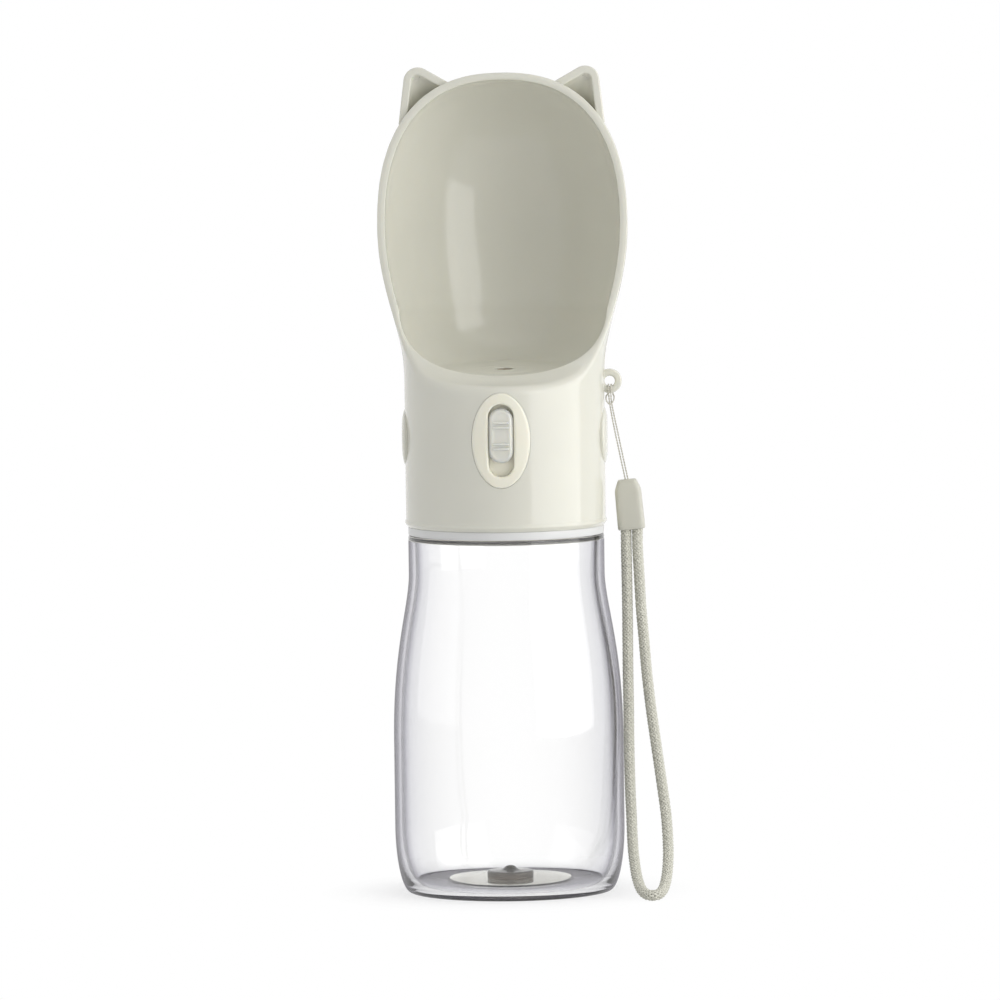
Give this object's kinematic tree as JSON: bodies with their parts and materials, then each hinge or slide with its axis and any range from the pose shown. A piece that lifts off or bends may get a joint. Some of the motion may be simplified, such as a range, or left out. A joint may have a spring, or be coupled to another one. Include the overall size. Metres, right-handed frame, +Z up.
{
  "type": "dog travel water bottle",
  "caption": "Portable pet water bottle: clear bottle, screwed-on drinking scoop with ear points, sliding lock key that opens a sprung outlet valve, and a wrist strap.",
  "frame": {"origin": "centre of the foot ring, on the surface the bottle stands on", "axes": "+Z up along the bottle's axis, -Y the scoop's open front, +X the strap's side"},
  "size_m": [0.0869, 0.072, 0.2475],
  "materials": {
    "clear_plastic": "clear, smooth",
    "shell_grey": "smooth, warm pale grey",
    "bezel_ivory": "smooth, ivory",
    "key_grey": "satin",
    "inner_white": "satin",
    "valve_plastic": "satin",
    "seal_clear": "milky, soft",
    "seal_dark": "matt",
    "spring_steel": "drawn wire",
    "cord_braid": "braided, pale greenish grey",
    "string_thread": "twisted",
    "ferrule_grey": "smooth"
  },
  "bodies": {
    "bottle": {"bottle": "clear_plastic"},
    "seal_ring": {"neck_seal": "seal_clear"},
    "head": {"scoop_head": "shell_grey", "inner_cap": "inner_white", "cap_gasket": "seal_clear", "button_bezel": "bezel_ivory", "valve_body": "valve_plastic", "valve_spring": "spring_steel", "spring_cap": "valve_plastic", "plug_seal": "seal_dark", "inlet_seal": "seal_dark", "outlet_seal": "seal_dark", "valve_screws": "spring_steel", "strap_string": "string_thread", "strap_ferrule": "ferrule_grey", "strap_cord": "cord_braid"},
    "lock_carrier": {"slide_carrier": "bezel_ivory", "carrier_bridge": "inner_white", "key_spring": "spring_steel"},
    "key": {"push_key": "key_grey"},
    "valve_poppet": {"valve_stem": "valve_plastic", "valve_seal": "seal_dark", "stem_seal": "seal_dark"}
  },
  "joints": [
    {"name": "thread_lift", "type": "slide", "parent": "bottle", "child": "seal_ring", "axis": [0, 0, 1], "range_m": [0, 0.008]},
    {"name": "unscrew", "type": "hinge", "parent": "seal_ring", "child": "head", "pos_m": [0, 0, 0.1085], "axis": [0, 0, 1], "range_deg": [0, 720]},
    {"name": "lock_slide", "type": "slide", "parent": "head", "child": "lock_carrier", "axis": [0, 0, -1], "range_m": [0, 0.004]},
    {"name": "button_press", "type": "slide", "parent": "lock_carrier", "child": "key", "axis": [0, 1, 0], "range_m": [0, 0.0025], "stiffness_N_per_m": 600, "springref_m": -0.001, "deforming": ["key_spring"]},
    {"name": "valve_open", "type": "slide", "parent": "head", "child": "valve_poppet", "axis": [0, 1, 0], "range_m": [0, 0.0025], "stiffness_N_per_m": 500, "springref_m": -0.001, "deforming": ["valve_spring"]}
  ],
  "couplings": [
    {"joint": "thread_lift", "follows": "unscrew", "m_per_rad": 0.0006366},
    {"joint": "valve_open", "follows": "button_press", "ratio": 1}
  ]
}
